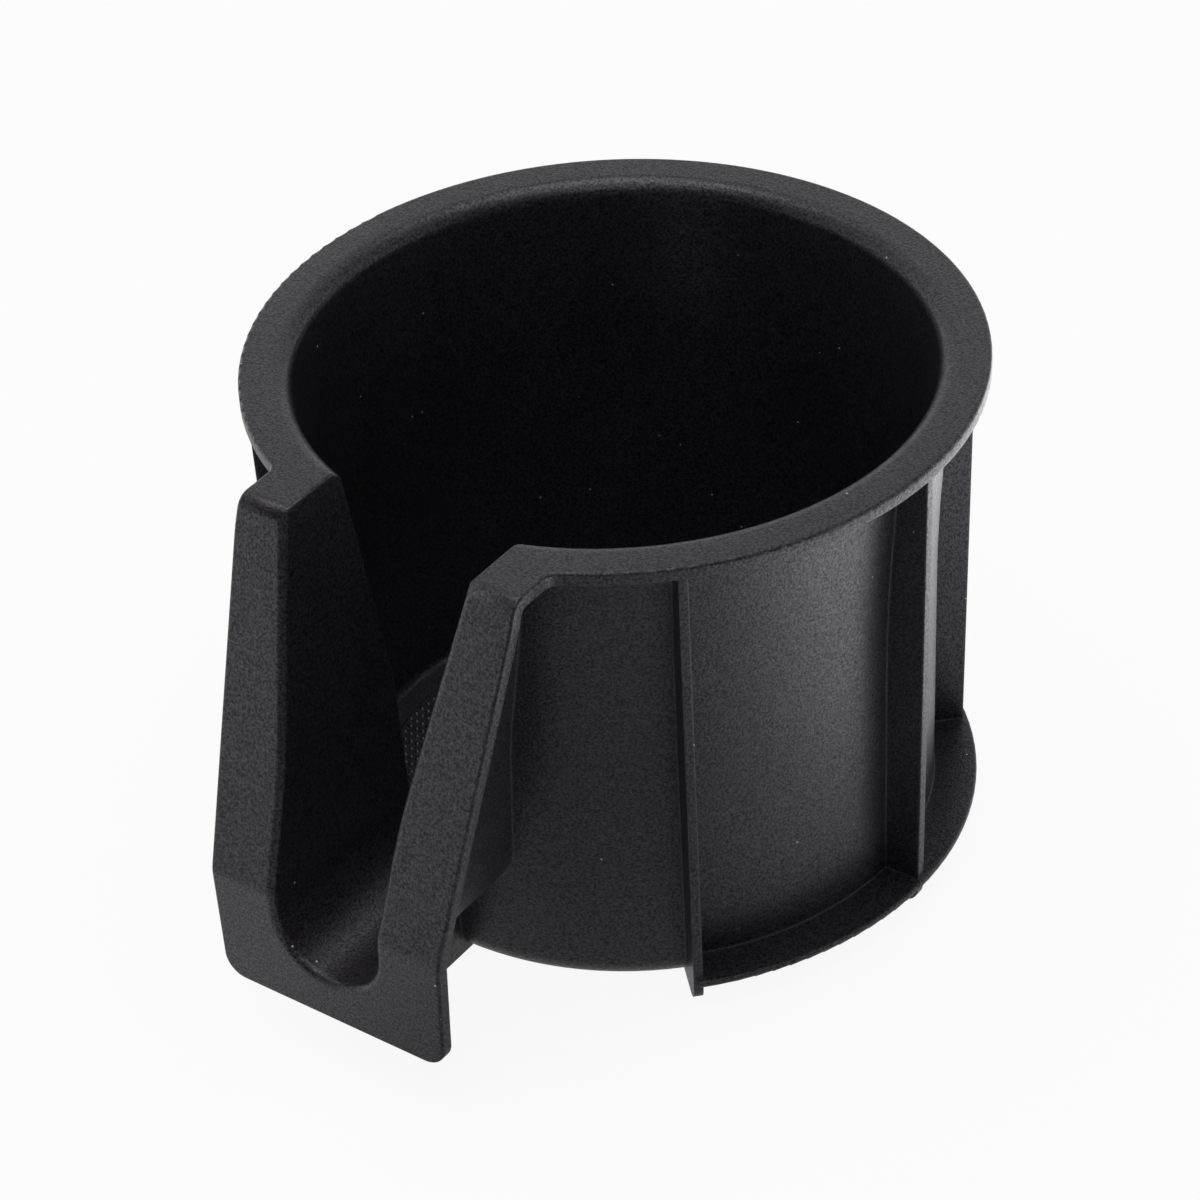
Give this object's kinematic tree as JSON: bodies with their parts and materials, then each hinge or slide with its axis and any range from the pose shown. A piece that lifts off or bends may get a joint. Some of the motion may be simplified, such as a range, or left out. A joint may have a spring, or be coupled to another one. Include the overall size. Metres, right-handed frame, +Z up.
{
  "type": "car cup holder insert",
  "caption": "Drop-in round cup holder with a flat rim, a tapered open channel for a mug handle through a leaning front frame, and outside ribs with a foot flange.",
  "frame": {"origin": "on the cup's axis, in the plane of the base that the part stands on", "axes": "+Z up along the cup's axis, -Y through the handle channel towards the front frame, +X to the right seen from the back of the cup"},
  "size_m": [0.092, 0.1097, 0.0684],
  "materials": {
    "black_plastic": "fine moulded grain"
  },
  "bodies": {
    "root": {"holder_body": "black_plastic"}
  },
  "joints": []
}
